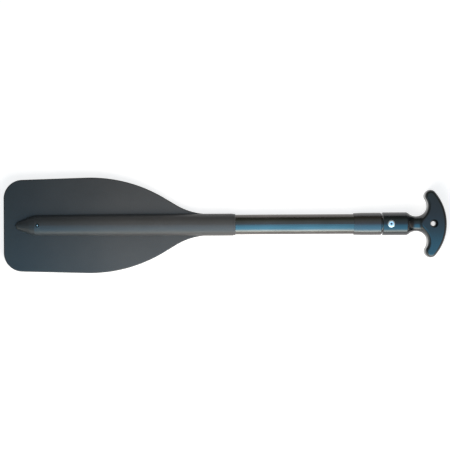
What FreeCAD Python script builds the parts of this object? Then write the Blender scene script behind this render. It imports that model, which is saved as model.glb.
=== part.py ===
import FreeCAD, Part
import math
import os
import re
import Sketcher

# Telescoping emergency paddle with a T-grip, collapsed, in millimetres.
# +X runs along the shaft from the blade to the grip, +Y across the blade and
# +Z out of its front face. The origin is on the shaft's axis, half way along.

doc = FreeCAD.newDocument("EmergencyPaddle")
sheet = doc.addObject("Spreadsheet::Sheet", "dims")

# ---------------------------------------------------------------- sizes

sizes = [
    # blade plate, from its square tip to the mouth of its socket
    ("squareLength", 157.8, "tip to the shoulder's corner"),
    ("shoulderRun", 80.8, "shoulder's corner to neck corner, along the shaft"),
    ("socketLength", 55.6, "neck corner to the socket's mouth"),
    ("tipWidth", 115.2, "across the plate at the tip"),
    ("shoulderWidth", 124.4, "across the plate at the shoulder's corners"),
    ("neckTuck", 0.35, "plate's neck inside the socket's wall"),
    ("tipCornerRadius", 24, "rounding of the two tip corners"),
    ("shoulderBlend", 0.565, "share of the slanted side that the shoulder's arc takes"),
    ("neckBlend", 0.24, "share of the slanted side that the neck's arc takes"),
    ("plateThickness", 3.8, "blade plate"),
    ("plateEdgeRadius", 1.4, "rounding of the plate's edges"),
    # spine and socket, moulded with the plate
    ("noseInset", 14.8, "tip of the plate to the spine's nose"),
    ("noseRounding", 6, "blunt end of the nose"),
    ("noseLength", 19.2, "nose, from its blunt end to its edge"),
    ("noseEdgeDiameter", 23.6, "spine at the nose's edge"),
    ("noseBlend", 6.5, "steep stretch behind the nose's edge"),
    ("spineDiameter", 26.7, "spine behind that stretch"),
    ("spineTaper", 107, "length over which the spine widens to the socket"),
    ("socketDiameter", 28.1, "socket beside its mouth"),
    ("lipLength", 3, "reduced band at the mouth"),
    ("lipDrop", 0.4, "step down to that band"),
    ("lipBevel", 0.6, "outer edge of the mouth"),
    ("socketFit", 0.1, "radial gap, tube in the blade and collar"),
    ("bladeRivetInset", 44.5, "tip of the plate to the blade's rivet"),
    ("bladeRivetRecess", 5.6, "diameter of the hole that the rivet sits in"),
    # outer tube
    ("tubeDiameter", 25.4, "outer tube"),
    ("tubeWall", 1.2, "outer tube"),
    ("tubeInset", 41, "tip of the plate to the tube's hidden end"),
    ("exposedTube", 149.8, "bare tube between socket and collar"),
    ("beadInset", 5, "collar's edge to the rolled bead"),
    ("beadWidth", 4, "rolled bead that stops the inner tube"),
    # guide collar
    ("collarLength", 35.1, "whole collar"),
    ("collarEdgeDiameter", 27.7, "collar at the blade's side"),
    ("collarDiameter", 28.5, "collar beyond its swell"),
    ("collarSwell", 10, "length over which it swells"),
    ("collarLip", 2, "inner lip that guides the inner tube"),
    ("collarBevel", 0.9, "edge beside the grip"),
    ("collarGap", 1.2, "collar to grip, pushed in"),
    # inner tube and what it carries
    ("innerDiameter", 20.8, "inner tube"),
    ("innerWall", 1.2, "inner tube"),
    ("runGap", 0.3, "gap between pieces that move past each other"),
    ("pressGap", 0.05, "gap of pieces pressed together"),
    ("plugLength", 15, "tube plug inside the inner tube"),
    ("plugFlange", 2, "tube plug's flange"),
    ("studDiameter", 6, "threaded stud"),
    ("studInset", 7.9, "outer tube's hidden end to the stud's end"),
    ("studTip", 1, "stud beyond its nut"),
    ("studSeat", 12, "stud inside the plug"),
    ("nutHeight", 3, "nut that keeps the cone on the stud"),
    ("nutAcrossCorners", 11, "the same nut"),
    # twist lock
    ("threadPitch", 1, "cone's travel in one turn"),
    ("coneLength", 13, "tapered nut"),
    ("coneProud", 1.5, "tapered nut standing out of the sleeve"),
    ("keyWidth", 1.8, "keys on the tapered nut"),
    ("keyLength", 8, "keys on the tapered nut"),
    ("keyInset", 0.6, "key's outer edge inside the sleeve"),
    ("sleeveLength", 20, "slotted sleeve"),
    ("sleeveHub", 5, "unslotted end of the sleeve"),
    ("sleeveMouth", 18, "diameter of the sleeve's taper at its open end"),
    ("sleeveThroat", 10, "diameter of the sleeve's taper at the hub"),
    ("slotCount", 3, "slots and keys"),
    ("ringSection", 1.8, "O-ring round the sleeve's hub"),
    ("ringInset", 2.5, "O-ring's middle to the end of the hub"),
    # T-grip
    ("gripLength", 81.7, "socket's edge to the crown"),
    ("gripDiameter", 29.3, "grip's socket"),
    ("gripBore", 27, "depth of its bore"),
    ("gripBevel", 0.8, "edge beside the collar"),
    ("gripShoulder", 1.4, "bevel where the socket ends at the neck"),
    ("crownRadius", 62, "palm side of the T-bar"),
    ("barWidth", 86.2, "across the T-bar"),
    ("barThickness", 22, "between its flat faces"),
    ("barTipRadius", 7.3, "ends of the T-bar"),
    ("waistRadius", 14.3, "hollows between T-bar and socket"),
    ("waistDiameter", 18.8, "neck at its narrowest"),
    ("barRounding", 4.4, "edges of the flat faces"),
    ("lanyardInset", 16.9, "crown to the lanyard hole"),
    ("lanyardBore", 6, "diameter of the lanyard hole's land"),
    ("lanyardLand", 8, "length of that land"),
    ("lanyardMouth", 10.4, "diameter of the hole at the flat faces"),
    # blind rivets
    ("rivetInset", 10.2, "grip's edge to its rivets"),
    ("rivetHead", 8.9, "diameter of the grip rivets' heads"),
    ("rivetHeadHeight", 1.4, "grip rivets' heads"),
    ("rivetRim", 0.5, "straight edge of those heads, below their dome"),
    ("rivetCrown", 6.2, "diameter of the dome's flat top"),
    ("rivetSpotDepth", 0.5, "flat that each head sits on, below the socket's top"),
    ("rivetShank", 4.8, "grip rivets"),
    ("rivetTail", 6.6, "diameter of the upset tails"),
    ("rivetTailHeight", 1.8, "upset tails"),
    ("mandrelDiameter", 2.8, "mandrels of the grip rivets"),
    ("mandrelHead", 4.2, "diameter of their heads"),
    ("mandrelHeadLength", 1.4, "their heads, below the tails"),
    ("mandrelRecess", 0.8, "their broken ends, below the rivets' tops"),
    ("bladeRivetHead", 4.6, "diameter of the blade rivet's head"),
    ("bladeRivetHeadHeight", 0.5, "blade rivet's head, beyond the tube"),
    ("bladeRivetRim", 0.2, "straight edge of that head"),
    ("bladeRivetCrown", 3.4, "diameter of its flat top"),
    ("bladeRivetShank", 3, "blade rivet"),
    ("bladeRivetTail", 4.2, "diameter of its upset tail"),
    ("bladeRivetTailHeight", 1, "its upset tail"),
    ("bladeMandrelDiameter", 1.6, "its mandrel"),
    ("bladeMandrelHead", 2.6, "diameter of the mandrel's head"),
    ("bladeMandrelHeadLength", 0.8, "that head, below the tail"),
    ("bladeMandrelRecess", 0.2, "its broken end, below the rivet's top"),
]

# Places and sizes that follow from the ones above.
derived = [
    ("bladeLength", "squareLength + shoulderRun + socketLength"),
    ("stowedLength", "bladeLength + exposedTube + collarLength + collarGap + gripLength"),
    ("tipX", "-stowedLength / 2"),
    ("neckInset", "squareLength + shoulderRun"),
    ("neckHalf", "socketDiameter / 2 - neckTuck"),
    ("slantHeight", "shoulderWidth / 2 - neckHalf"),
    ("slantLength", "sqrt(shoulderRun ^ 2 + slantHeight ^ 2)"),
    ("slantAngle", "atan(slantHeight / shoulderRun)"),
    ("sideAngle", "atan((shoulderWidth - tipWidth) / 2 / squareLength)"),
    ("shoulderRadius", "shoulderBlend * slantLength / tan((slantAngle + sideAngle) / 2)"),
    ("neckRadius", "neckBlend * slantLength / tan(slantAngle / 2)"),
    ("plateEnd", "neckInset + neckBlend * slantLength + neckTuck"),
    ("noseEdge", "noseInset + noseLength"),
    ("spineStart", "noseEdge + noseBlend"),
    ("socketBore", "tubeDiameter / 2 + socketFit"),
    ("tubeX", "tipX + tubeInset"),
    ("collarX", "tipX + bladeLength + exposedTube"),
    ("gripX", "collarX + collarLength + collarGap"),
    ("collarSeat", "collarLength - collarLip"),
    ("tubeLength", "collarX + collarSeat - socketFit - tubeX"),
    ("tubeBore", "tubeDiameter / 2 - tubeWall"),
    ("guideBore", "innerDiameter / 2 + runGap"),
    ("beadHeight", "tubeBore - guideBore"),
    ("beadX", "collarX + beadInset - tubeX"),
    ("studX", "tubeX + studInset"),
    ("nutX", "studX + studTip"),
    ("coneX", "nutX + nutHeight + threadPitch + runGap"),
    ("sleeveX", "coneX + coneProud"),
    ("flangeX", "sleeveX + sleeveLength + runGap"),
    ("innerX", "flangeX + plugFlange"),
    ("innerLength", "gripX + gripBore - socketFit - innerX"),
    ("innerBore", "innerDiameter / 2 - innerWall"),
    ("studLength", "innerX + studSeat - studX"),
    ("sleeveRadius", "tubeBore - runGap"),
    ("taperSlope", "(sleeveMouth - sleeveThroat) / 2 / (sleeveLength - sleeveHub)"),
    ("coneBig", "sleeveMouth / 2 + coneProud * taperSlope - runGap"),
    ("coneSmall", "coneBig - coneLength * taperSlope"),
    ("studHole", "studDiameter / 2 + runGap"),
    ("ringMiddle", "sleeveRadius - ringSection / 2 + 2 * pressGap"),
    ("ringFlat", "ringSection * (sqrt(2) - 1) / 2"),
    ("gripSocketBore", "innerDiameter / 2 + socketFit"),
    ("crownX", "gripLength - crownRadius"),
    ("barTipY", "barWidth / 2 - barTipRadius"),
    ("barTipX", "crownX + sqrt((crownRadius - barTipRadius) ^ 2 - barTipY ^ 2)"),
    ("waistY", "waistDiameter / 2 + waistRadius"),
    ("waistX", "barTipX - sqrt((waistRadius + barTipRadius) ^ 2 - (barTipY - waistY) ^ 2)"),
    ("waistStart", "waistX - sqrt(waistRadius ^ 2 - (waistY - gripDiameter / 2) ^ 2)"),
    ("rivetSeat", "gripDiameter / 2 - rivetSpotDepth"),
    ("rivetX", "gripX + rivetInset"),
    ("gripTailTop", "sqrt(innerBore ^ 2 - (rivetTail / 2) ^ 2) - pressGap"),
    ("lanyardX", "gripLength - lanyardInset"),
    ("bladeRivetX", "tipX + bladeRivetInset"),
    ("bladeRivetSeat", "tubeDiameter / 2 + pressGap"),
    ("bladeTailTop", "sqrt(tubeBore ^ 2 - (bladeRivetTail / 2) ^ 2) - pressGap"),
]

row = 1
for alias, value, note in sizes:
    sheet.set("A%d" % row, note)
    sheet.set("B%d" % row, str(value))
    sheet.setAlias("B%d" % row, alias)
    row += 1
for alias, formula in derived:
    sheet.set("A%d" % row, "follows")
    sheet.set("B%d" % row, "=" + formula)
    sheet.setAlias("B%d" % row, alias)
    row += 1
doc.recompute()


# ---------------------------------------------------------------- helpers

def bind(owner, path, formula):
    # Formulas name the aliases bare here, and get the sheet's name on the way in.
    named = re.sub(r"[A-Za-z]\w*", lambda word: "dims." + word.group(0), formula)
    owner.setExpression(path, named)


def newBody(label, place=None):
    body = doc.addObject("PartDesign::Body", label)
    body.Label = label
    if place:
        bind(body, "Placement.Base.x", place)
    return body


def originPlane(body, role):
    return [feature for feature in body.Origin.OriginFeatures if feature.Role == role][0]


def newSketch(body, name, role="XZ_Plane"):
    sketch = body.newObject("Sketcher::SketchObject", name)
    sketch.AttachmentSupport = (originPlane(body, role), [""])
    sketch.MapMode = "FlatFace"
    return sketch


def fixPoint(sketch, geometry, point, across, up):
    for kind, formula in (("DistanceX", across), ("DistanceY", up)):
        number = sketch.addConstraint(Sketcher.Constraint(kind, -1, 1, geometry, point, 1.0))
        bind(sketch, "Constraints[%d]" % number, formula)


def drawOutline(sketch, corners):
    # A closed run of straight lines, with both coordinates of each corner bound to the sheet.
    first = sketch.GeometryCount
    count = len(corners)
    spots = [FreeCAD.Vector(10 * math.cos(2 * math.pi * i / count), 10 * math.sin(2 * math.pi * i / count), 0)
             for i in range(count)]
    for i in range(count):
        sketch.addGeometry(Part.LineSegment(spots[i], spots[(i + 1) % count]), False)
    for i in range(count):
        following = first + (i + 1) % count
        sketch.addConstraint(Sketcher.Constraint("Coincident", first + i, 2, following, 1))
    for i, (across, up) in enumerate(corners):
        fixPoint(sketch, first + i, 1, across, up)


upright = FreeCAD.Vector(0, 0, 1)


def arcOf(centre, radius, start, end):
    return Part.ArcOfCircle(Part.Circle(centre, upright, radius), start, end)


def lineOf(startX, startY, endX, endY):
    return Part.LineSegment(FreeCAD.Vector(startX, startY, 0), FreeCAD.Vector(endX, endY, 0))


def drawCircle(sketch, across, up, radius):
    circle = sketch.addGeometry(Part.Circle(FreeCAD.Vector(1, 1, 0), FreeCAD.Vector(0, 0, 1), 1), False)
    fixPoint(sketch, circle, 3, across, up)
    number = sketch.addConstraint(Sketcher.Constraint("Radius", circle, 1.0))
    bind(sketch, "Constraints[%d]" % number, radius)


def revolve(body, name, sketch, kind="PartDesign::Revolution", axis="H_Axis"):
    feature = body.newObject(kind, name)
    feature.Profile = sketch
    feature.ReferenceAxis = (sketch, [axis])
    feature.Angle = 360
    doc.recompute()
    return feature


def pad(body, name, sketch, length, both=True):
    feature = body.newObject("PartDesign::Pad", name)
    feature.Profile = sketch
    feature.SideType = "Symmetric" if both else "One side"
    bind(feature, "Length", length)
    doc.recompute()
    return feature


def pocket(body, name, sketch, length, both=True, reverse=False):
    feature = body.newObject("PartDesign::Pocket", name)
    feature.Profile = sketch
    feature.SideType = "Symmetric" if both else "One side"
    feature.Reversed = reverse
    bind(feature, "Length", length)
    doc.recompute()
    return feature


def repeatRound(body, name, feature, axis, count):
    pattern = body.newObject("PartDesign::PolarPattern", name)
    pattern.Originals = [feature]
    pattern.Axis = (originPlane(body, axis), [""])
    pattern.Angle = 360
    bind(pattern, "Occurrences", count)
    body.Tip = pattern
    doc.recompute()
    return pattern


def edgesWhere(feature, test):
    return ["Edge%d" % (i + 1) for i, edge in enumerate(feature.Shape.Edges) if test(edge)]


def roundEdges(body, name, feature, edges, radius):
    fillet = body.newObject("PartDesign::Fillet", name)
    fillet.Base = (feature, edges)
    bind(fillet, "Radius", radius)
    doc.recompute()
    return fillet


def bevelEdges(body, name, feature, edges, size):
    chamfer = body.newObject("PartDesign::Chamfer", name)
    chamfer.Base = (feature, edges)
    bind(chamfer, "Size", size)
    doc.recompute()
    return chamfer


def middleOf(edge):
    return edge.valueAt((edge.FirstParameter + edge.LastParameter) / 2)


def ringAt(edge, x, radius):
    # True for an edge that runs round the shaft's axis at this place and radius.
    spot = edge.valueAt(edge.FirstParameter)
    return (abs(edge.BoundBox.XLength) < 0.01 and abs(spot.x - x) < 0.01
            and abs(math.hypot(spot.y, spot.z) - radius) < 0.01)


# ---------------------------------------------------------------- blade

blade = newBody("blade", "tipX")

plateSketch = newSketch(blade, "plateOutline", "XY_Plane")
drawOutline(plateSketch, [
    ("0", "-tipWidth / 2"),
    ("squareLength", "-shoulderWidth / 2"),
    ("neckInset", "-neckHalf"),
    ("plateEnd", "-neckHalf"),
    ("plateEnd", "neckHalf"),
    ("neckInset", "neckHalf"),
    ("squareLength", "shoulderWidth / 2"),
    ("0", "tipWidth / 2"),
])
plate = pad(blade, "plate", plateSketch, "plateThickness")


def uprightAt(x):
    return lambda edge: edge.BoundBox.ZLength > 1 and abs(middleOf(edge).x - x) < 0.01


tipCorners = roundEdges(blade, "tipCorners", plate, edgesWhere(plate, uprightAt(0)), "tipCornerRadius")
shoulders = roundEdges(blade, "shoulders", tipCorners,
                       edgesWhere(tipCorners, uprightAt(sheet.squareLength)), "shoulderRadius")
necks = roundEdges(blade, "necks", shoulders,
                   edgesWhere(shoulders, uprightAt(sheet.neckInset)), "neckRadius")
rims = edgesWhere(necks, lambda edge: edge.BoundBox.ZLength < 0.01
                  and middleOf(edge).x < sheet.plateEnd - 0.01)
softPlate = roundEdges(blade, "plateEdges", necks, rims, "plateEdgeRadius")

# the spine: a round blunt nose, an edge, and a slow taper up to the socket
spineSketch = newSketch(blade, "spineProfile")
noseCentre = FreeCAD.Vector(sheet.noseInset + sheet.noseRounding, 0, 0)
toEdge = FreeCAD.Vector(sheet.noseEdge, sheet.noseEdgeDiameter / 2, 0) - noseCentre
touchAngle = math.atan2(toEdge.y, toEdge.x) + math.acos(sheet.noseRounding / toEdge.Length)
touch = noseCentre + FreeCAD.Vector(math.cos(touchAngle), math.sin(touchAngle), 0) * sheet.noseRounding
spineCorners = [
    ("noseEdge", "noseEdgeDiameter / 2"),
    ("spineStart", "spineDiameter / 2"),
    ("spineStart + spineTaper", "socketDiameter / 2"),
    ("bladeLength - lipLength", "socketDiameter / 2"),
    ("bladeLength - lipLength", "socketDiameter / 2 - lipDrop"),
    ("bladeLength", "socketDiameter / 2 - lipDrop"),
    ("bladeLength", "0"),
    ("noseInset", "0"),
]
noseArc = spineSketch.addGeometry(arcOf(noseCentre, sheet.noseRounding, touchAngle, math.pi), False)
run = touch
for number in range(len(spineCorners)):
    following = FreeCAD.Vector(sheet.noseEdge + 10 * number, toEdge.y, 0)
    if number == len(spineCorners) - 1:
        following = FreeCAD.Vector(sheet.noseInset, 0, 0)
    line = spineSketch.addGeometry(lineOf(run.x, run.y, following.x, following.y), False)
    if number == 0:
        spineSketch.addConstraint(Sketcher.Constraint("Tangent", noseArc, 1, line, 1))
    else:
        spineSketch.addConstraint(Sketcher.Constraint("Coincident", line - 1, 2, line, 1))
    run = following
spineSketch.addConstraint(Sketcher.Constraint("Coincident", line, 2, noseArc, 2))
for number, (across, up) in enumerate(spineCorners[:-1]):
    fixPoint(spineSketch, noseArc + 1 + number, 2, across, up)
fixPoint(spineSketch, noseArc, 3, "noseInset + noseRounding", "0")
blunt = spineSketch.addConstraint(Sketcher.Constraint("Radius", noseArc, sheet.noseRounding))
bind(spineSketch, "Constraints[%d]" % blunt, "noseRounding")
spineSketch.addConstraint(Sketcher.Constraint("PointOnObject", noseArc, 2, -1))
spine = revolve(blade, "spine", spineSketch)

boreSketch = newSketch(blade, "socketBoreProfile")
drawOutline(boreSketch, [
    ("tubeInset - socketFit", "0"),
    ("tubeInset - socketFit", "socketBore"),
    ("bladeLength + 1", "socketBore"),
    ("bladeLength + 1", "0"),
])
bore = revolve(blade, "socketBoreCut", boreSketch, "PartDesign::Groove")

recessSketch = newSketch(blade, "rivetRecess", "XY_Plane")
drawCircle(recessSketch, "bladeRivetInset", "0", "bladeRivetRecess / 2")
recess = pocket(blade, "rivetRecessCut", recessSketch, "spineDiameter", both=False, reverse=True)

mouthEdges = edgesWhere(recess, lambda edge: ringAt(edge, sheet.bladeLength, sheet.socketDiameter / 2 - sheet.lipDrop))
bevelEdges(blade, "mouthBevel", recess, mouthEdges, "lipBevel")

# ---------------------------------------------------------------- outer tube

outerTube = newBody("outer_tube", "tubeX")
tubeSketch = newSketch(outerTube, "tubeProfile")
drawOutline(tubeSketch, [
    ("0", "tubeBore"),
    ("0", "tubeDiameter / 2"),
    ("beadX - beadWidth / 2", "tubeDiameter / 2"),
    ("beadX - beadWidth / 6", "tubeDiameter / 2 - beadHeight"),
    ("beadX + beadWidth / 6", "tubeDiameter / 2 - beadHeight"),
    ("beadX + beadWidth / 2", "tubeDiameter / 2"),
    ("tubeLength", "tubeDiameter / 2"),
    ("tubeLength", "tubeBore"),
    ("beadX + beadWidth / 2", "tubeBore"),
    ("beadX + beadWidth / 6", "guideBore"),
    ("beadX - beadWidth / 6", "guideBore"),
    ("beadX - beadWidth / 2", "tubeBore"),
])
tubeWall = revolve(outerTube, "tubeWallRound", tubeSketch)
tubeHole = newSketch(outerTube, "rivetHole", "XY_Plane")
drawCircle(tubeHole, "bladeRivetInset - tubeInset", "0", "bladeRivetShank / 2 + pressGap")
pocket(outerTube, "rivetHoleCut", tubeHole, "tubeDiameter", both=False, reverse=True)

# ---------------------------------------------------------------- guide collar

collar = newBody("collar", "collarX")
collarSketch = newSketch(collar, "collarProfile")
drawOutline(collarSketch, [
    ("0", "socketBore"),
    ("0", "collarEdgeDiameter / 2"),
    ("collarSwell", "collarDiameter / 2"),
    ("collarLength", "collarDiameter / 2"),
    ("collarLength", "guideBore"),
    ("collarSeat", "guideBore"),
    ("collarSeat", "socketBore"),
    ("beadInset + beadWidth / 2 - socketFit", "socketBore"),
    ("beadInset + beadWidth / 6 - socketFit", "socketBore - beadHeight"),
    ("beadInset - beadWidth / 6 + socketFit", "socketBore - beadHeight"),
    ("beadInset - beadWidth / 2 + socketFit", "socketBore"),
])
collarRound = revolve(collar, "collarWall", collarSketch)
collarEdges = edgesWhere(collarRound, lambda edge: ringAt(edge, sheet.collarLength, sheet.collarDiameter / 2))
bevelEdges(collar, "collarEdge", collarRound, collarEdges, "collarBevel")

# ---------------------------------------------------------------- inner tube, plug, stud and nut

innerTube = newBody("inner_tube", "innerX")
innerSketch = newSketch(innerTube, "innerProfile")
drawOutline(innerSketch, [
    ("0", "innerBore"),
    ("0", "innerDiameter / 2"),
    ("innerLength", "innerDiameter / 2"),
    ("innerLength", "innerBore"),
])
revolve(innerTube, "innerWallRound", innerSketch)
innerHoles = newSketch(innerTube, "rivetHoles", "XY_Plane")
drawCircle(innerHoles, "rivetX - innerX", "0", "rivetShank / 2 + pressGap")
pocket(innerTube, "rivetHolesCut", innerHoles, "2 * innerDiameter")

tubePlug = newBody("tube_plug", "flangeX")
plugSketch = newSketch(tubePlug, "plugProfile")
drawOutline(plugSketch, [
    ("0", "studDiameter / 2 + pressGap"),
    ("0", "innerDiameter / 2"),
    ("plugFlange", "innerDiameter / 2"),
    ("plugFlange", "innerBore - pressGap"),
    ("plugFlange + plugLength", "innerBore - pressGap"),
    ("plugFlange + plugLength", "0"),
    ("plugFlange + studSeat + pressGap", "0"),
    ("plugFlange + studSeat + pressGap", "studDiameter / 2 + pressGap"),
])
revolve(tubePlug, "plugRound", plugSketch)

lockStud = newBody("lock_stud", "studX")
studSketch = newSketch(lockStud, "studProfile")
drawOutline(studSketch, [
    ("0", "0"),
    ("0", "studDiameter / 2 - studTip / 2"),
    ("studTip / 2", "studDiameter / 2"),
    ("studLength", "studDiameter / 2"),
    ("studLength", "0"),
])
revolve(lockStud, "studRound", studSketch)

nutBlank = doc.addObject("Part::Prism", "nutBlank")
nutBlank.Polygon = 6
bind(nutBlank, "Circumradius", "nutAcrossCorners / 2")
bind(nutBlank, "Height", "nutHeight")
nutHole = doc.addObject("Part::Cylinder", "nutHole")
bind(nutHole, "Radius", "studDiameter / 2 + pressGap")
bind(nutHole, "Height", "nutHeight")
studNut = doc.addObject("Part::Cut", "stud_nut")
studNut.Base = nutBlank
studNut.Tool = nutHole
studNut.Placement.Rotation = FreeCAD.Rotation(FreeCAD.Vector(0, 1, 0), 90)
bind(studNut, "Placement.Base.x", "nutX")

# ---------------------------------------------------------------- twist lock

sleeve = newBody("expander_sleeve", "sleeveX")
sleeveSketch = newSketch(sleeve, "sleeveProfile")
drawOutline(sleeveSketch, [
    ("0", "sleeveMouth / 2"),
    ("0", "sleeveRadius"),
    ("sleeveLength - ringInset - ringSection / 2 - pressGap", "sleeveRadius"),
    ("sleeveLength - ringInset - ringSection / 2 - pressGap", "sleeveRadius + pressGap - ringSection"),
    ("sleeveLength - ringInset + ringSection / 2 + pressGap", "sleeveRadius + pressGap - ringSection"),
    ("sleeveLength - ringInset + ringSection / 2 + pressGap", "sleeveRadius"),
    ("sleeveLength", "sleeveRadius"),
    ("sleeveLength", "studHole"),
    ("sleeveLength - sleeveHub", "studHole"),
    ("sleeveLength - sleeveHub", "sleeveThroat / 2"),
])
revolve(sleeve, "sleeveRound", sleeveSketch)
slotSketch = newSketch(sleeve, "slotOutline", "XY_Plane")
drawOutline(slotSketch, [
    ("-1", "-keyWidth / 2 - runGap"),
    ("sleeveLength - sleeveHub", "-keyWidth / 2 - runGap"),
    ("sleeveLength - sleeveHub", "keyWidth / 2 + runGap"),
    ("-1", "keyWidth / 2 + runGap"),
])
slot = pocket(sleeve, "slot", slotSketch, "sleeveRadius + 1", both=False, reverse=True)
repeatRound(sleeve, "slots", slot, "X_Axis", "slotCount")

# eight flats stand for the round of the ring's section
ring = newBody("expander_ring", "sleeveX")
ringSketch = newSketch(ring, "ringProfile")
corners = [("ringFlat", "ringSection / 2"), ("ringSection / 2", "ringFlat"),
           ("ringSection / 2", "-ringFlat"), ("ringFlat", "-ringSection / 2"),
           ("-ringFlat", "-ringSection / 2"), ("-ringSection / 2", "-ringFlat"),
           ("-ringSection / 2", "ringFlat"), ("-ringFlat", "ringSection / 2")]
drawOutline(ringSketch, [("sleeveLength - ringInset + " + across, "ringMiddle + " + up)
                         for across, up in corners])
revolve(ring, "ringRound", ringSketch)

cone = newBody("expander_cone", "coneX")
coneSketch = newSketch(cone, "coneProfile")
drawOutline(coneSketch, [
    ("0", "studHole"),
    ("0", "coneBig"),
    ("coneLength", "coneSmall"),
    ("coneLength", "studHole"),
])
revolve(cone, "coneRound", coneSketch)
keySketch = newSketch(cone, "keyOutline")
drawOutline(keySketch, [
    ("0", "(studHole + coneSmall) / 2"),
    ("0", "sleeveRadius - keyInset"),
    ("keyLength", "sleeveRadius - keyInset"),
    ("keyLength", "(studHole + coneSmall) / 2"),
])
key = pad(cone, "key", keySketch, "keyWidth")
repeatRound(cone, "keys", key, "X_Axis", "slotCount")

# ---------------------------------------------------------------- T-grip

grip = newBody("t_grip", "gripX")
gripSketch = newSketch(grip, "gripProfile", "XY_Plane")
gripEnd = sheet.gripLength
crownCentre = FreeCAD.Vector(sheet.crownX, 0, 0)
tipCentre = FreeCAD.Vector(sheet.barTipX, sheet.barTipY, 0)
waistCentre = FreeCAD.Vector(sheet.waistX, sheet.waistY, 0)
crownToTip = tipCentre - crownCentre
tipToWaist = waistCentre - tipCentre
waistToSocket = FreeCAD.Vector(sheet.waistStart, sheet.gripDiameter / 2, 0) - waistCentre
crownAngle = math.atan2(crownToTip.y, crownToTip.x)
tipAngle = math.atan2(tipToWaist.y, tipToWaist.x) + 2 * math.pi
waistFrom = math.atan2(waistToSocket.y, waistToSocket.x) + 2 * math.pi
waistTo = math.atan2(-tipToWaist.y, -tipToWaist.x) + 2 * math.pi
crownArc, tipArc, waistArc, socketTop, socketEnd, boreWall, boreEnd, axisLine = range(8)
gripSketch.addGeometry(arcOf(crownCentre, sheet.crownRadius, 0, crownAngle), False)
gripSketch.addGeometry(arcOf(tipCentre, sheet.barTipRadius, crownAngle, tipAngle), False)
gripSketch.addGeometry(arcOf(waistCentre, sheet.waistRadius, waistFrom, waistTo), False)
gripSketch.addGeometry(lineOf(sheet.waistStart, sheet.gripDiameter / 2, 0, sheet.gripDiameter / 2), False)
gripSketch.addGeometry(lineOf(0, sheet.gripDiameter / 2, 0, sheet.gripSocketBore), False)
gripSketch.addGeometry(lineOf(0, sheet.gripSocketBore, sheet.gripBore, sheet.gripSocketBore), False)
gripSketch.addGeometry(lineOf(sheet.gripBore, sheet.gripSocketBore, sheet.gripBore, 0), False)
gripSketch.addGeometry(lineOf(sheet.gripBore, 0, gripEnd, 0), False)
gripSketch.addConstraint(Sketcher.Constraint("Tangent", crownArc, 2, tipArc, 1))
gripSketch.addConstraint(Sketcher.Constraint("Tangent", tipArc, 2, waistArc, 2))
gripSketch.addConstraint(Sketcher.Constraint("Coincident", waistArc, 1, socketTop, 1))
for before, after in ((socketTop, socketEnd), (socketEnd, boreWall), (boreWall, boreEnd), (boreEnd, axisLine)):
    gripSketch.addConstraint(Sketcher.Constraint("Coincident", before, 2, after, 1))
gripSketch.addConstraint(Sketcher.Constraint("Coincident", axisLine, 2, crownArc, 1))
gripSketch.addConstraint(Sketcher.Constraint("Horizontal", socketTop))
gripSketch.addConstraint(Sketcher.Constraint("PointOnObject", crownArc, 3, -1))
for arc, radius in ((crownArc, "crownRadius"), (tipArc, "barTipRadius"), (waistArc, "waistRadius")):
    number = gripSketch.addConstraint(Sketcher.Constraint("Radius", arc, sheet.get(radius)))
    bind(gripSketch, "Constraints[%d]" % number, radius)
for arc, up in ((tipArc, "barTipY"), (waistArc, "waistY")):
    number = gripSketch.addConstraint(Sketcher.Constraint("DistanceY", -1, 1, arc, 3, sheet.get(up)))
    bind(gripSketch, "Constraints[%d]" % number, up)
fixPoint(gripSketch, socketEnd, 1, "0", "gripDiameter / 2")
fixPoint(gripSketch, boreWall, 1, "0", "gripSocketBore")
fixPoint(gripSketch, boreEnd, 1, "gripBore", "gripSocketBore")
fixPoint(gripSketch, axisLine, 1, "gripBore", "0")
fixPoint(gripSketch, axisLine, 2, "gripLength", "0")
gripRound = revolve(grip, "mushroom", gripSketch)

# the flat faces of the T-bar
flatSketch = newSketch(grip, "flatProfile")
for side in ("", "-"):
    drawOutline(flatSketch, [
        ("waistX", side + "barThickness / 2"),
        ("gripLength + 1", side + "barThickness / 2"),
        ("gripLength + 1", side + "barWidth"),
        ("waistX", side + "barWidth"),
    ])
flats = pocket(grip, "flats", flatSketch, "2 * barWidth")

flatEdges = edgesWhere(flats, lambda edge: edge.BoundBox.ZLength < 0.01
                       and abs(abs(middleOf(edge).z) - sheet.barThickness / 2) < 0.01)
softBar = roundEdges(grip, "barEdges", flats, flatEdges, "barRounding")

# the lanyard hole narrows from both faces to a short land
holeSketch = newSketch(grip, "lanyardProfile")
drawOutline(holeSketch, [
    ("lanyardX", "-barThickness / 2 - 1"),
    ("lanyardX + lanyardMouth / 2", "-barThickness / 2 - 1"),
    ("lanyardX + lanyardMouth / 2", "-barThickness / 2"),
    ("lanyardX + lanyardBore / 2", "-lanyardLand / 2"),
    ("lanyardX + lanyardBore / 2", "lanyardLand / 2"),
    ("lanyardX + lanyardMouth / 2", "barThickness / 2"),
    ("lanyardX + lanyardMouth / 2", "barThickness / 2 + 1"),
    ("lanyardX", "barThickness / 2 + 1"),
])
holeAxis = holeSketch.addGeometry(Part.LineSegment(FreeCAD.Vector(1, 0, 0), FreeCAD.Vector(1, 1, 0)), True)
fixPoint(holeSketch, holeAxis, 1, "lanyardX", "0")
fixPoint(holeSketch, holeAxis, 2, "lanyardX", "barThickness")
lanyardHole = revolve(grip, "lanyardHole", holeSketch, "PartDesign::Groove", "Axis0")

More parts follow.
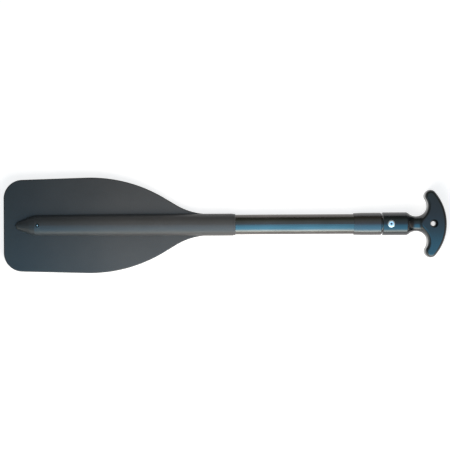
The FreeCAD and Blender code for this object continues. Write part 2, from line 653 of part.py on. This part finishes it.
spotSketch = newSketch(grip, "rivetSpot", "XY_Plane")
bind(spotSketch, "AttachmentOffset.Base.z", "rivetSeat")
drawCircle(spotSketch, "rivetInset", "0", "rivetHead / 2 + 2 * pressGap")
spot = pocket(grip, "rivetSpotCut", spotSketch, "gripDiameter", both=False, reverse=True)
repeatRound(grip, "rivetSpots", spot, "X_Axis", "2")
shankSketch = newSketch(grip, "rivetHoles", "XY_Plane")
drawCircle(shankSketch, "rivetInset", "0", "rivetShank / 2 + pressGap")
shanks = pocket(grip, "rivetHolesCut", shankSketch, "2 * gripDiameter")
socketEdges = edgesWhere(shanks, lambda edge: ringAt(edge, 0, sheet.gripDiameter / 2))
softSocket = bevelEdges(grip, "socketEdge", shanks, socketEdges, "gripBevel")
neckEdges = edgesWhere(softSocket, lambda edge: ringAt(edge, sheet.waistStart, sheet.gripDiameter / 2))
bevelEdges(grip, "socketShoulder", softSocket, neckEdges, "gripShoulder")

# ---------------------------------------------------------------- blind rivets


def blindRivet(label, pinLabel, place, turn, names):
    seat, head, height, rim, crown, shank, tail, tailTop, tailHeight, pin, pinHead, pinLength, pinRecess = names
    facing = FreeCAD.Rotation(FreeCAD.Vector(1, 0, 0), turn)
    tailEnd = tailTop + " - " + tailHeight
    rivet = newBody(label, place)
    rivet.Placement.Rotation = facing
    sketch = newSketch(rivet, label + "_profile")
    drawOutline(sketch, [
        (pin + " / 2 + pressGap", tailEnd),
        (tail + " / 2", tailEnd),
        (tail + " / 2", tailTop),
        (shank + " / 2", tailTop),
        (shank + " / 2", seat),
        (head + " / 2", seat),
        (head + " / 2", seat + " + " + rim),
        (crown + " / 2", seat + " + " + height),
        (pin + " / 2 + pressGap", seat + " + " + height),
    ])
    revolve(rivet, label + "_round", sketch, axis="V_Axis")
    mandrel = newBody(pinLabel, place)
    mandrel.Placement.Rotation = facing
    sketch = newSketch(mandrel, pinLabel + "_profile")
    pinTop = seat + " + " + height + " - " + pinRecess
    drawOutline(sketch, [
        ("0", tailEnd + " - pressGap - " + pinLength),
        (pinHead + " / 2", tailEnd + " - pressGap - " + pinLength),
        (pinHead + " / 2", tailEnd + " - pressGap"),
        (pin + " / 2", tailEnd + " - pressGap"),
        (pin + " / 2", pinTop),
        ("0", pinTop),
    ])
    revolve(mandrel, pinLabel + "_round", sketch, axis="V_Axis")
    return rivet, mandrel


gripRivet = ("rivetSeat", "rivetHead", "rivetHeadHeight", "rivetRim", "rivetCrown", "rivetShank",
             "rivetTail", "gripTailTop", "rivetTailHeight",
             "mandrelDiameter", "mandrelHead", "mandrelHeadLength", "mandrelRecess")
rivetFront, mandrelFront = blindRivet("grip_rivet_front", "grip_mandrel_front", "rivetX", 0, gripRivet)
rivetBack, mandrelBack = blindRivet("grip_rivet_back", "grip_mandrel_back", "rivetX", 180, gripRivet)
bladeRivet, bladeMandrel = blindRivet(
    "blade_rivet", "blade_rivet_mandrel", "bladeRivetX", 0,
    ("bladeRivetSeat", "bladeRivetHead", "bladeRivetHeadHeight", "bladeRivetRim", "bladeRivetCrown",
     "bladeRivetShank", "bladeRivetTail", "bladeTailTop", "bladeRivetTailHeight",
     "bladeMandrelDiameter", "bladeMandrelHead", "bladeMandrelHeadLength", "bladeMandrelRecess"))

# ---------------------------------------------------------------- check and write

doc.recompute()
pieces = [blade, bladeRivet, bladeMandrel, outerTube, collar,
          innerTube, tubePlug, lockStud, studNut, grip, rivetFront, mandrelFront, rivetBack, mandrelBack,
          sleeve, ring, cone]

for item in doc.Objects:
    if "Invalid" in item.State or "Error" in item.State:
        raise RuntimeError("%s did not build: %s" % (item.Label, item.State))

os.makedirs("parts", exist_ok=True)
for piece in pieces:
    shape = piece.Shape
    if shape.isNull() or not shape.isValid() or len(shape.Solids) != 1:
        raise RuntimeError("%s is not one valid solid" % piece.Label)
    shape.exportStep("parts/%s.step" % piece.Label)
    box = shape.BoundBox
    print("%-20s x %8.2f to %8.2f  y %6.2f  z %6.2f to %6.2f  %8.0f mm3" % (
        piece.Label, box.XMin, box.XMax, box.YMax, box.ZMin, box.ZMax, shape.Volume))
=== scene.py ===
import math

import bmesh
import bpy
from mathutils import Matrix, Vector


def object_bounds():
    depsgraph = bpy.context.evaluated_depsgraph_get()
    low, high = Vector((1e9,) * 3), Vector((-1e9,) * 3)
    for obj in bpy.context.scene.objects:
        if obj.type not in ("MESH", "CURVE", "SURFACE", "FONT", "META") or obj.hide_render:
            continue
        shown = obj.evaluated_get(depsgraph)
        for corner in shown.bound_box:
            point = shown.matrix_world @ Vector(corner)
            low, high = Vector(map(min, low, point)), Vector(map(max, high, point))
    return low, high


# Collapsed emergency paddle, lying face up on a pale floor and seen from straight above.

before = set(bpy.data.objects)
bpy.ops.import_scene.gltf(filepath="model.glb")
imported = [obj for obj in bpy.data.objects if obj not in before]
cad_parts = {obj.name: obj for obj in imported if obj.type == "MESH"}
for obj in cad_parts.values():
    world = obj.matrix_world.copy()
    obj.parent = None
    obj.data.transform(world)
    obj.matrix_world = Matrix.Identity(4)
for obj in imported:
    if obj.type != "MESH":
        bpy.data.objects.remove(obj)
low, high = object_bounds()
print("frame loaded:", len(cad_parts), "nodes")


# small helpers for shader trees

def newMaterial(name):
    material = bpy.data.materials.new(name)
    material.use_nodes = True
    tree = material.node_tree
    return material, tree, tree.nodes["Principled BSDF"]


def addNode(tree, kind, **settings):
    node = tree.nodes.new(kind)
    for key, value in settings.items():
        setattr(node, key, value)
    return node


def addMath(tree, operation, *values, clamp=False):
    # each value is a socket to link or a plain number
    node = addNode(tree, "ShaderNodeMath", operation=operation, use_clamp=clamp)
    for slot, value in zip(node.inputs, values):
        if isinstance(value, (int, float)):
            slot.default_value = value
        else:
            tree.links.new(value, slot)
    return node.outputs[0]


def addNoise(tree, vector, scale, detail=2.0, roughness=0.5):
    noise = addNode(tree, "ShaderNodeTexNoise")
    noise.inputs["Detail"].default_value = detail
    noise.inputs["Roughness"].default_value = roughness
    tree.links.new(vector, noise.inputs["Vector"])
    if isinstance(scale, float):
        noise.inputs["Scale"].default_value = scale
    else:
        tree.links.new(scale, noise.inputs["Scale"])
    return noise.outputs["Fac"]


def addPlace(tree, kind="Object"):
    return addNode(tree, "ShaderNodeTexCoord").outputs[kind]


def splitPlace(tree, place):
    parts = addNode(tree, "ShaderNodeSeparateXYZ")
    tree.links.new(place, parts.inputs[0])
    return parts.outputs


def blendColours(tree, share, first, second):
    # sockets 6, 7 and 2 are the Mix node's two colours and its result
    blend = addNode(tree, "ShaderNodeMix", data_type="RGBA")
    tree.links.new(share, blend.inputs["Factor"])
    for slot, value in ((blend.inputs[6], first), (blend.inputs[7], second)):
        if isinstance(value, tuple):
            slot.default_value = (*value, 1)
        else:
            tree.links.new(value, slot)
    return blend.outputs[2]


def rampBetween(tree, source, first, second, start=0.35, end=0.65):
    ramp = addNode(tree, "ShaderNodeValToRGB")
    for element, spot, colour in zip(ramp.color_ramp.elements, (start, end), (first, second)):
        element.position = spot
        element.color = (*colour, 1)
    tree.links.new(source, ramp.inputs["Fac"])
    return ramp.outputs["Color"]


def spread(tree, source, lowest, highest, start=0.3, end=0.7):
    wide = addNode(tree, "ShaderNodeMapRange")
    wide.inputs["From Min"].default_value = start
    wide.inputs["From Max"].default_value = end
    wide.inputs["To Min"].default_value = lowest
    wide.inputs["To Max"].default_value = highest
    tree.links.new(source, wide.inputs["Value"])
    return wide.outputs["Result"]


# effects that several finishes share

def newGroup(name, inputs, outputs):
    group = bpy.data.node_groups.new(name, "ShaderNodeTree")
    for side, names in (("INPUT", inputs), ("OUTPUT", outputs)):
        for socketName in names:
            group.interface.new_socket(socketName, in_out=side, socket_type="NodeSocketFloat")
    given = group.nodes.new("NodeGroupInput").outputs
    result = group.nodes.new("NodeGroupOutput").inputs
    return group, given, result


def placeGroup(tree, group, values):
    node = tree.nodes.new("ShaderNodeGroup")
    node.node_tree = group
    for key, value in values.items():
        node.inputs[key].default_value = value
    return node.outputs


def makeGrainGroup():
    # the fine sparkle of a spark-eroded mould, with a broad cloudiness under it
    group, given, result = newGroup(
        "mouldGrain", ("Grain Size", "Cloud Size", "Contrast"), ("Height", "Shade"))
    place = addPlace(group)
    grain = addNoise(group, place, given["Grain Size"], detail=3.0)
    cloud = addNoise(group, place, given["Cloud Size"], detail=4.0, roughness=0.62)
    centred = addMath(group, "SUBTRACT", addMath(group, "ADD", grain, cloud), 1.0)
    shade = addMath(group, "MULTIPLY_ADD", centred, given["Contrast"], 0.5)
    group.links.new(grain, result["Height"])
    group.links.new(shade, result["Shade"])
    return group


def makeDrawnGroup():
    # lines that run along the shaft, as drawing through a die leaves them
    group, given, result = newGroup(
        "drawnLines", ("Line Size", "Length"), ("Height", "Shade"))
    place = addPlace(group)
    parts = splitPlace(group, place)
    spot = addNode(group, "ShaderNodeCombineXYZ")
    group.links.new(addMath(group, "MULTIPLY", parts["X"], given["Length"]), spot.inputs["X"])
    group.links.new(parts["Y"], spot.inputs["Y"])
    group.links.new(parts["Z"], spot.inputs["Z"])
    fine = addNoise(group, spot.outputs[0], given["Line Size"], detail=5.0)
    broad = addNoise(group, place, 30.0)
    group.links.new(fine, result["Height"])
    group.links.new(addMath(group, "MULTIPLY", fine, broad), result["Shade"])
    return group


def makeRippleGroup():
    # the slow waviness of a thick glossy moulding, and the dust on it
    group, given, result = newGroup(
        "mouldRipple", ("Ripple Size", "Dust Size"), ("Height", "Dust"))
    place = addPlace(group)
    ripple = addNoise(group, place, given["Ripple Size"], detail=1.0)
    dust = addNoise(group, place, given["Dust Size"], detail=6.0, roughness=0.7)
    group.links.new(ripple, result["Height"])
    group.links.new(dust, result["Dust"])
    return group


def makeCamberGroup():
    # a face that looks flat but falls away a little to both sides of the shaft's line
    group, given, result = newGroup("camber", ("Fall",), ("Height",))
    across = splitPlace(group, addPlace(group))["Y"]
    square = addMath(group, "MULTIPLY", across, across)
    drop = addMath(group, "MULTIPLY", square, given["Fall"])
    group.links.new(addMath(group, "MULTIPLY", drop, -1.0), result["Height"])
    return group


grainGroup = makeGrainGroup()
drawnGroup = makeDrawnGroup()
rippleGroup = makeRippleGroup()
camberGroup = makeCamberGroup()


def bumpInto(tree, shader, height, distance, fall=0.0):
    bump = addNode(tree, "ShaderNodeBump")
    bump.inputs["Distance"].default_value = distance
    if fall:
        # the relief and the camber are both in metres here, so the bump takes them as they are
        camber = placeGroup(tree, camberGroup, {"Fall": fall})["Height"]
        height = addMath(tree, "MULTIPLY_ADD", height, distance, camber)
        bump.inputs["Distance"].default_value = 1.0
    tree.links.new(height, bump.inputs["Height"])
    tree.links.new(bump.outputs["Normal"], shader.inputs["Normal"])


# finishes, one for each kind of surface

bladeFinish = {
    "name": "bladePlastic",
    # the tip colours are painted shade, darker than the neck's so that the blade dims towards its
    # tip
    "shadedTipDark": (0.025, 0.030, 0.033), "shadedTipLight": (0.036, 0.041, 0.045),
    "neckDark": (0.058, 0.056, 0.055), "neckLight": (0.073, 0.071, 0.070),
    "shadeFullAt": -0.264, "shadeEndsAt": -0.13,
    "grain": {"Grain Size": 1100.0, "Cloud Size": 16.0, "Contrast": 0.5},
    "gloss": 0.27, "rough": (0.36, 0.46), "depth": 0.00005, "fall": 1.0,
}


def makeBladePlastic(finish):
    # dark grey, with the tip painted darker than the neck: painted shade standing in for the light
    # falling off towards the tip
    material, tree, shader = newMaterial(finish["name"])
    grain = placeGroup(tree, grainGroup, finish["grain"])
    shadedTip = rampBetween(tree, grain["Shade"], finish["shadedTipDark"], finish["shadedTipLight"])
    neck = rampBetween(tree, grain["Shade"], finish["neckDark"], finish["neckLight"])
    parts = splitPlace(tree, addPlace(tree))
    # painted shade: the share of the neck's colour, none at the tip and full by the neck
    along = spread(tree, parts["X"], 0.0, 1.0, finish["shadeFullAt"], finish["shadeEndsAt"])
    tree.links.new(blendColours(tree, along, shadedTip, neck), shader.inputs["Base Color"])
    tree.links.new(spread(tree, grain["Shade"], *finish["rough"]), shader.inputs["Roughness"])
    shader.inputs["Specular IOR Level"].default_value = finish["gloss"]
    bumpInto(tree, shader, grain["Height"], finish["depth"], finish["fall"])
    return material


collarFinish = {
    "name": "collarPlastic", "dark": (0.014, 0.009, 0.008), "light": (0.022, 0.015, 0.013),
    "ripple": {"Ripple Size": 34.0, "Dust Size": 900.0},
    "ior": 1.68, "rough": (0.18, 0.26), "depth": 0.00006, "fall": 0.0,
}
gripFinish = {
    "name": "gripPlastic", "dark": (0.003, 0.006, 0.008), "light": (0.006, 0.010, 0.013),
    "ripple": {"Ripple Size": 34.0, "Dust Size": 900.0},
    "ior": 1.55, "rough": (0.14, 0.22), "depth": 0.0001, "fall": 2.4,
}


def makeGlossPlastic(finish):
    material, tree, shader = newMaterial(finish["name"])
    shader.inputs["IOR"].default_value = finish["ior"]
    ripple = placeGroup(tree, rippleGroup, finish["ripple"])
    tint = rampBetween(tree, ripple["Dust"], finish["dark"], finish["light"])
    tree.links.new(tint, shader.inputs["Base Color"])
    tree.links.new(spread(tree, ripple["Dust"], *finish["rough"]), shader.inputs["Roughness"])
    bumpInto(tree, shader, ripple["Height"], finish["depth"], finish["fall"])
    return material


tubeFinish = {
    "name": "blackTube", "dark": (0.092, 0.085, 0.080), "light": (0.118, 0.109, 0.103),
    "lines": {"Line Size": 900.0, "Length": 0.03}, "tintFrom": 0.15, "tintTo": 0.4,
    "rough": (0.21, 0.30), "depth": 0.00002,
}


def makeTubeMetal(finish):
    material, tree, shader = newMaterial(finish["name"])
    shader.inputs["Metallic"].default_value = 1.0
    lines = placeGroup(tree, drawnGroup, finish["lines"])
    tint = rampBetween(tree, lines["Shade"], finish["dark"], finish["light"],
                       finish["tintFrom"], finish["tintTo"])
    tree.links.new(tint, shader.inputs["Base Color"])
    tree.links.new(spread(tree, lines["Height"], *finish["rough"]), shader.inputs["Roughness"])
    bumpInto(tree, shader, lines["Height"], finish["depth"])
    return material


# small metal and moulded pieces, which share a grain and a depth of it
metalGrain = {"metallic": 1.0, "depth": 0.00002,
              "grain": {"Grain Size": 1500.0, "Cloud Size": 160.0, "Contrast": 0.8}}
mouldedGrain = {"metallic": 0.0, "depth": 0.00003,
                "grain": {"Grain Size": 900.0, "Cloud Size": 90.0, "Contrast": 0.5}}

gripRivetFinish = {"name": "rivetAluminium", "dark": (0.80, 0.80, 0.80),
                   "light": (0.93, 0.93, 0.93), "rough": (0.42, 0.56), **metalGrain}
gripMandrelFinish = {"name": "mandrelSteel", "dark": (0.05, 0.045, 0.06),
                     "light": (0.12, 0.11, 0.13), "rough": (0.35, 0.5), **metalGrain}
# the blade rivet's head is near black: partly its own dark finish, partly painted shade for the
# shaded ring around it
bladeRivetFinish = {"name": "rivetDarkAndShade", "dark": (0.010, 0.010, 0.010),
                    "light": (0.024, 0.024, 0.024), "rough": (0.4, 0.55), **metalGrain}
bladeMandrelFinish = {"name": "rivetPin", "dark": (0.45, 0.45, 0.44),
                      "light": (0.62, 0.62, 0.61), "rough": (0.3, 0.45), **metalGrain}
studFinish = {"name": "studSteel", "dark": (0.50, 0.50, 0.47),
              "light": (0.68, 0.68, 0.66), "rough": (0.25, 0.4), **metalGrain}
plugFinish = {"name": "innerPlastic", "dark": (0.30, 0.30, 0.30),
              "light": (0.38, 0.38, 0.38), "rough": (0.4, 0.55), **mouldedGrain}
ringFinish = {"name": "ringRubber", "dark": (0.012, 0.012, 0.012),
              "light": (0.022, 0.022, 0.022), "rough": (0.6, 0.75), **mouldedGrain}


def makeGrained(finish):
    material, tree, shader = newMaterial(finish["name"])
    shader.inputs["Metallic"].default_value = finish["metallic"]
    grain = placeGroup(tree, grainGroup, finish["grain"])
    tint = rampBetween(tree, grain["Shade"], finish["dark"], finish["light"])
    tree.links.new(tint, shader.inputs["Base Color"])
    tree.links.new(spread(tree, grain["Shade"], *finish["rough"]), shader.inputs["Roughness"])
    bumpInto(tree, shader, grain["Height"], finish["depth"])
    return material


finishes = {
    "blade": makeBladePlastic(bladeFinish),
    "collar": makeGlossPlastic(collarFinish),
    "t_grip": makeGlossPlastic(gripFinish),
    "outer_tube": makeTubeMetal(tubeFinish),
    "grip_rivet_front": makeGrained(gripRivetFinish),
    "grip_mandrel_front": makeGrained(gripMandrelFinish),
    "blade_rivet": makeGrained(bladeRivetFinish),
    "blade_rivet_mandrel": makeGrained(bladeMandrelFinish),
    "lock_stud": makeGrained(studFinish),
    "tube_plug": makeGrained(plugFinish),
    "expander_ring": makeGrained(ringFinish),
}
sameAs = {
    "inner_tube": "outer_tube",
    "grip_rivet_back": "grip_rivet_front",
    "grip_mandrel_back": "grip_mandrel_front",
    "stud_nut": "lock_stud",
    "expander_sleeve": "tube_plug",
    "expander_cone": "tube_plug",
}
for node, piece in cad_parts.items():
    piece.data.materials.clear()
    piece.data.materials.append(finishes[sameAs.get(node, node)])
print("finishes placed:", len(finishes))


# floor, light and camera

floorLook = {"size": 40.0, "gap": 0.0002, "colour": (0.60, 0.59, 0.58),
             "glow": 0.76, "rough": 0.9, "gloss": 0.1}


def makeFloor():
    mesh = bpy.data.meshes.new("floor")
    shape = bmesh.new()
    bmesh.ops.create_grid(shape, x_segments=1, y_segments=1, size=floorLook["size"] / 2)
    bmesh.ops.translate(shape, verts=shape.verts, vec=(0, 0, low[2] - floorLook["gap"]))
    shape.to_mesh(mesh)
    shape.free()
    floor = bpy.data.objects.new("floor", mesh)
    bpy.context.collection.objects.link(floor)
    material, tree, shader = newMaterial("paleFloor")
    shader.inputs["Base Color"].default_value = (*floorLook["colour"], 1)
    shader.inputs["Roughness"].default_value = floorLook["rough"]
    shader.inputs["Specular IOR Level"].default_value = floorLook["gloss"]
    shader.inputs["Emission Color"].default_value = (1, 1, 1, 1)
    # a steady white that the lens, gloss and glass all see; the lit part under it keeps the shadow
    rays = addNode(tree, "ShaderNodeLightPath").outputs
    seen = addMath(tree, "ADD", rays["Is Camera Ray"], rays["Is Glossy Ray"], clamp=True)
    seen = addMath(tree, "ADD", seen, rays["Is Transmission Ray"], clamp=True)
    glow = addMath(tree, "MULTIPLY", seen, floorLook["glow"])
    tree.links.new(glow, shader.inputs["Emission Strength"])
    mesh.materials.append(material)


makeFloor()

# The room that gloss mirrors, across the shaft from the dark side (+Y) over the top to the
# window side (-Y). Each stop is an angle in degrees from straight up and a share of the light.
roomLook = {
    "strength": 6.4,
    "plain": (0.040, 0.046, 0.051),  # what matt surfaces gather instead
    "across": [(-90, (0.014, 0.013, 0.009)), (-58, (0.032, 0.035, 0.028)),
               (-33, (0.082, 0.100, 0.098)), (-6, (0.090, 0.118, 0.152)),
               (6, (0.096, 0.18, 0.25)), (14, (0.105, 0.30, 0.46)),
               (38, (0.125, 0.40, 0.62)), (62, (0.18, 0.48, 0.70)),
               (80, (0.85, 1.0, 0.97)), (90, (1.0, 1.0, 0.95))],
    "leftEdge": (-0.24, -0.42),  # where the blade's end of the room blends in, and is full
    "left": [(-90, (0.016, 0.014, 0.011)), (-40, (0.036, 0.038, 0.034)),
             (0, (0.048, 0.062, 0.066)), (45, (0.075, 0.105, 0.120)),
             (90, (0.46, 0.44, 0.37))],
    "rightEdge": (0.42, 0.72),  # the same for the grip's end
    "right": [(-90, (0.012, 0.010, 0.009)), (-40, (0.030, 0.027, 0.025)),
              (0, (0.070, 0.060, 0.056)), (45, (0.110, 0.096, 0.088)),
              (90, (0.22, 0.19, 0.16))],
}


def rampStops(tree, source, stops):
    ramp = addNode(tree, "ShaderNodeValToRGB")
    elements = ramp.color_ramp.elements
    while len(elements) < len(stops):
        elements.new(0.5)
    for element, (degrees, colour) in zip(elements, stops):
        element.position = (degrees + 90) / 180
        element.color = (*colour, 1)
    tree.links.new(source, ramp.inputs["Fac"])
    return ramp.outputs["Color"]


def makeRoom():
    world = bpy.data.worlds.new("room")
    bpy.context.scene.world = world
    world.use_nodes = True
    tree = world.node_tree
    backdrop = tree.nodes["Background"]
    backdrop.inputs["Strength"].default_value = roomLook["strength"]
    parts = splitPlace(tree, addPlace(tree, "Generated"))
    windowSide = addMath(tree, "MULTIPLY", parts["Y"], -1.0)
    angle = addMath(tree, "ARCTAN2", windowSide, parts["Z"])
    along = spread(tree, angle, 0.0, 1.0, math.radians(-90), math.radians(90))
    colour = rampStops(tree, along, roomLook["across"])
    for side in ("left", "right"):
        share = spread(tree, parts["X"], 0.0, 1.0, *roomLook[side + "Edge"])
        colour = blendColours(tree, share, colour, rampStops(tree, along, roomLook[side]))
    # matt surfaces gather a plain light, so that each colour shows as it is written
    rays = addNode(tree, "ShaderNodeLightPath").outputs
    colour = blendColours(tree, rays["Is Glossy Ray"], roomLook["plain"], colour)
    tree.links.new(colour, backdrop.inputs["Color"])


makeRoom()

neckLamp = {"spot": (0.02, -0.22, 0.31), "aim": (-0.06, 0, 0), "size": 0.35,
            "power": 2.0, "colour": (1.0, 0.94, 0.88)}


def makeLamp():
    lamp = bpy.data.lights.new("neckBox", "AREA")
    lamp.shape = "RECTANGLE"
    lamp.size = lamp.size_y = neckLamp["size"]
    lamp.energy = neckLamp["power"]
    lamp.color = neckLamp["colour"]
    holder = bpy.data.objects.new("neckBox", lamp)
    holder.location = neckLamp["spot"]
    toAim = Vector(neckLamp["aim"]) - Vector(neckLamp["spot"])
    holder.rotation_euler = toAim.to_track_quat("-Z", "Y").to_euler()
    holder.visible_glossy = False  # it lifts the shade and leaves no mirrored patch
    holder.visible_camera = False
    bpy.context.collection.objects.link(holder)


makeLamp()

cameraPlace = {"height": 1.65, "width": 0.5715, "roll": -0.31, "down": -0.00044}


def makeCamera():
    data = bpy.data.cameras.new("above")
    data.angle = 2 * math.atan(cameraPlace["width"] / 2 / cameraPlace["height"])
    camera = bpy.data.objects.new("above", data)
    camera.location = (0, cameraPlace["down"], cameraPlace["height"])
    camera.rotation_euler = (0, 0, math.radians(cameraPlace["roll"]))
    bpy.context.collection.objects.link(camera)
    bpy.context.scene.camera = camera


makeCamera()
bpy.context.scene.view_settings.view_transform = "Standard"
print("stage lit")
